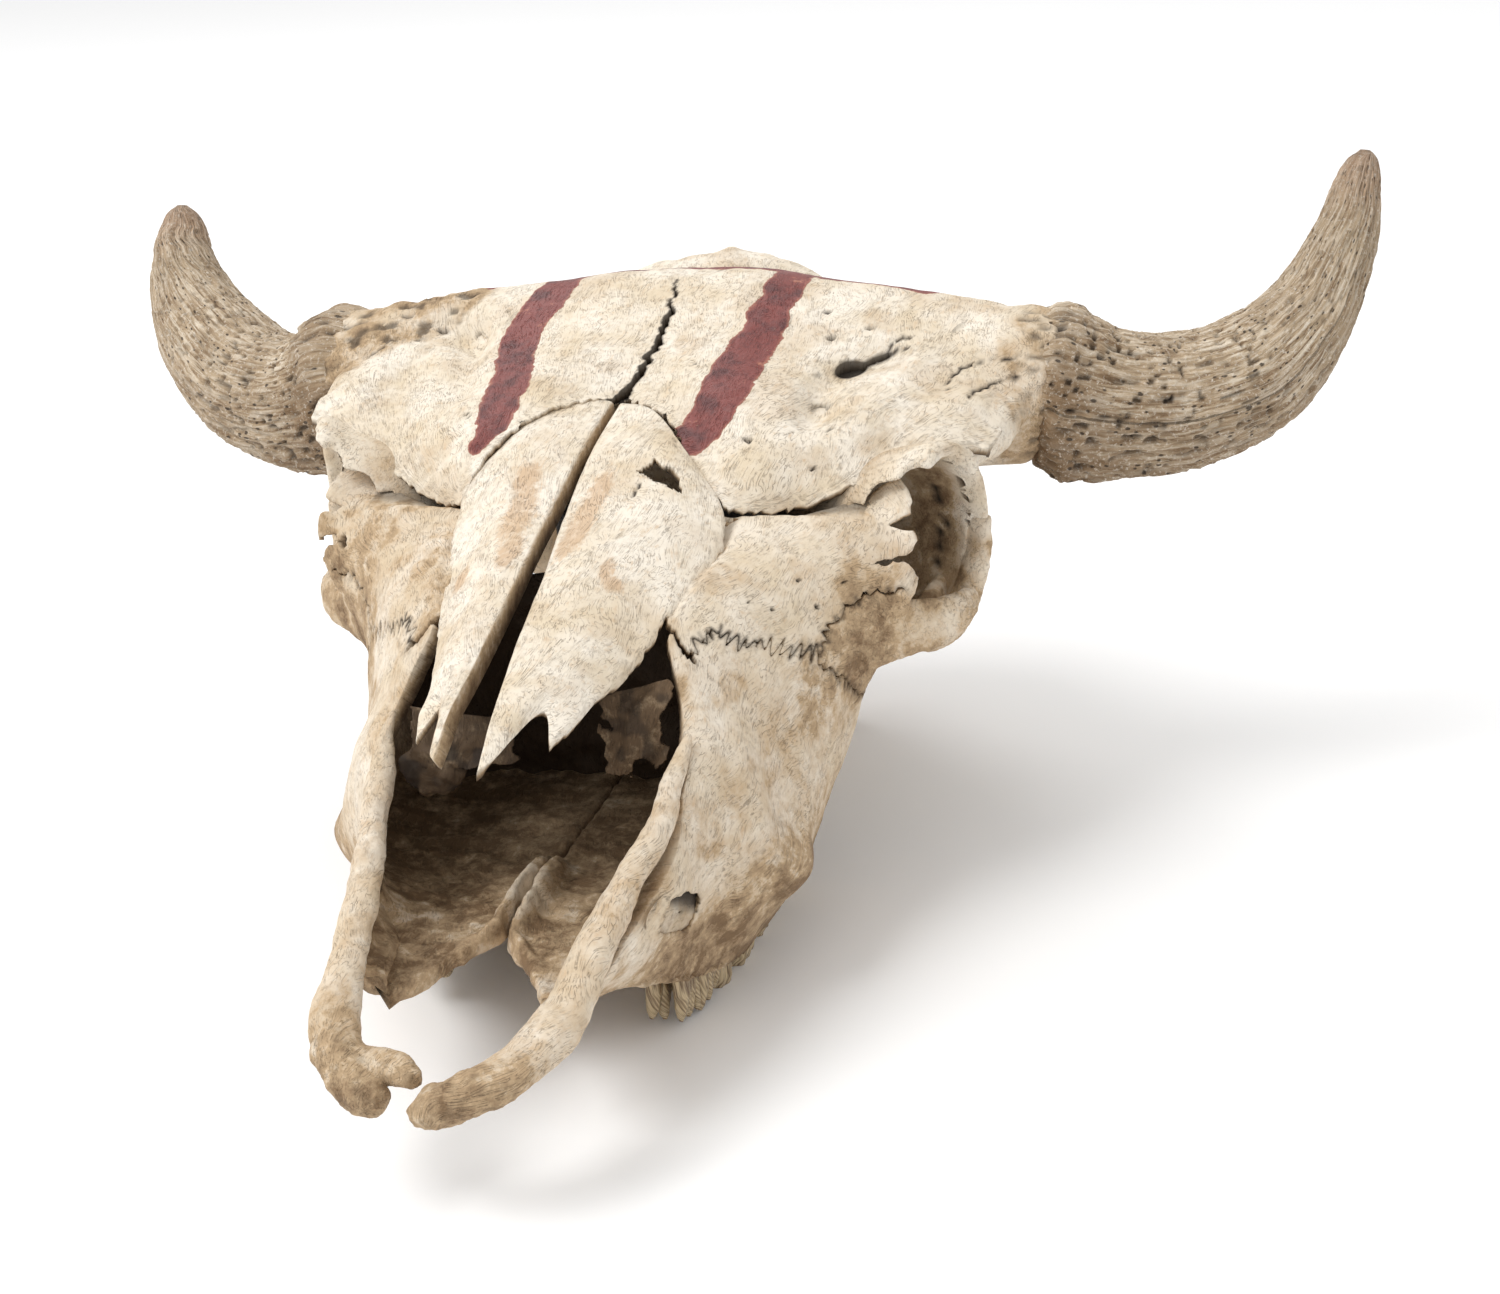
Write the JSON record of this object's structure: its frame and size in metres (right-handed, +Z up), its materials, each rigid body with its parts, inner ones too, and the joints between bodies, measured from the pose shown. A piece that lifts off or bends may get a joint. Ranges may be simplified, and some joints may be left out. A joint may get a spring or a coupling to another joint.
{
  "type": "bison skull",
  "caption": "Weathered horned bison skull without its lower jaw, with loose nasal bones, open eye sockets and plain red painted stripes on the forehead.",
  "frame": {"origin": "middle of the skull's bounding box, on the surface that it rests on", "axes": "+Z up, nose towards -Y, +X towards the animal's left horn"},
  "size_m": [0.5744, 0.4947, 0.2721],
  "materials": {
    "weathered_bone": "dry, porous, weathered bone",
    "inner_bone": "thin stained bone inside the nose",
    "tooth_enamel": "worn, stained enamel"
  },
  "bodies": {
    "root": {"concha_left": "inner_bone", "concha_right": "inner_bone", "cranium": "weathered_bone", "jugal_left": "weathered_bone", "jugal_right": "weathered_bone", "lacrimal_left": "weathered_bone", "lacrimal_right": "weathered_bone", "maxilla_left": "weathered_bone", "maxilla_right": "weathered_bone", "nasal_left": "weathered_bone", "nasal_right": "weathered_bone", "premaxilla_left": "weathered_bone", "premaxilla_right": "weathered_bone", "tooth_molar_1_left": "tooth_enamel", "tooth_molar_1_right": "tooth_enamel", "tooth_molar_2_left": "tooth_enamel", "tooth_molar_2_right": "tooth_enamel", "tooth_molar_3_left": "tooth_enamel", "tooth_molar_3_right": "tooth_enamel", "tooth_premolar_2_left": "tooth_enamel", "tooth_premolar_2_right": "tooth_enamel", "tooth_premolar_3_left": "tooth_enamel", "tooth_premolar_3_right": "tooth_enamel", "tooth_premolar_4_left": "tooth_enamel", "tooth_premolar_4_right": "tooth_enamel"}
  },
  "joints": []
}
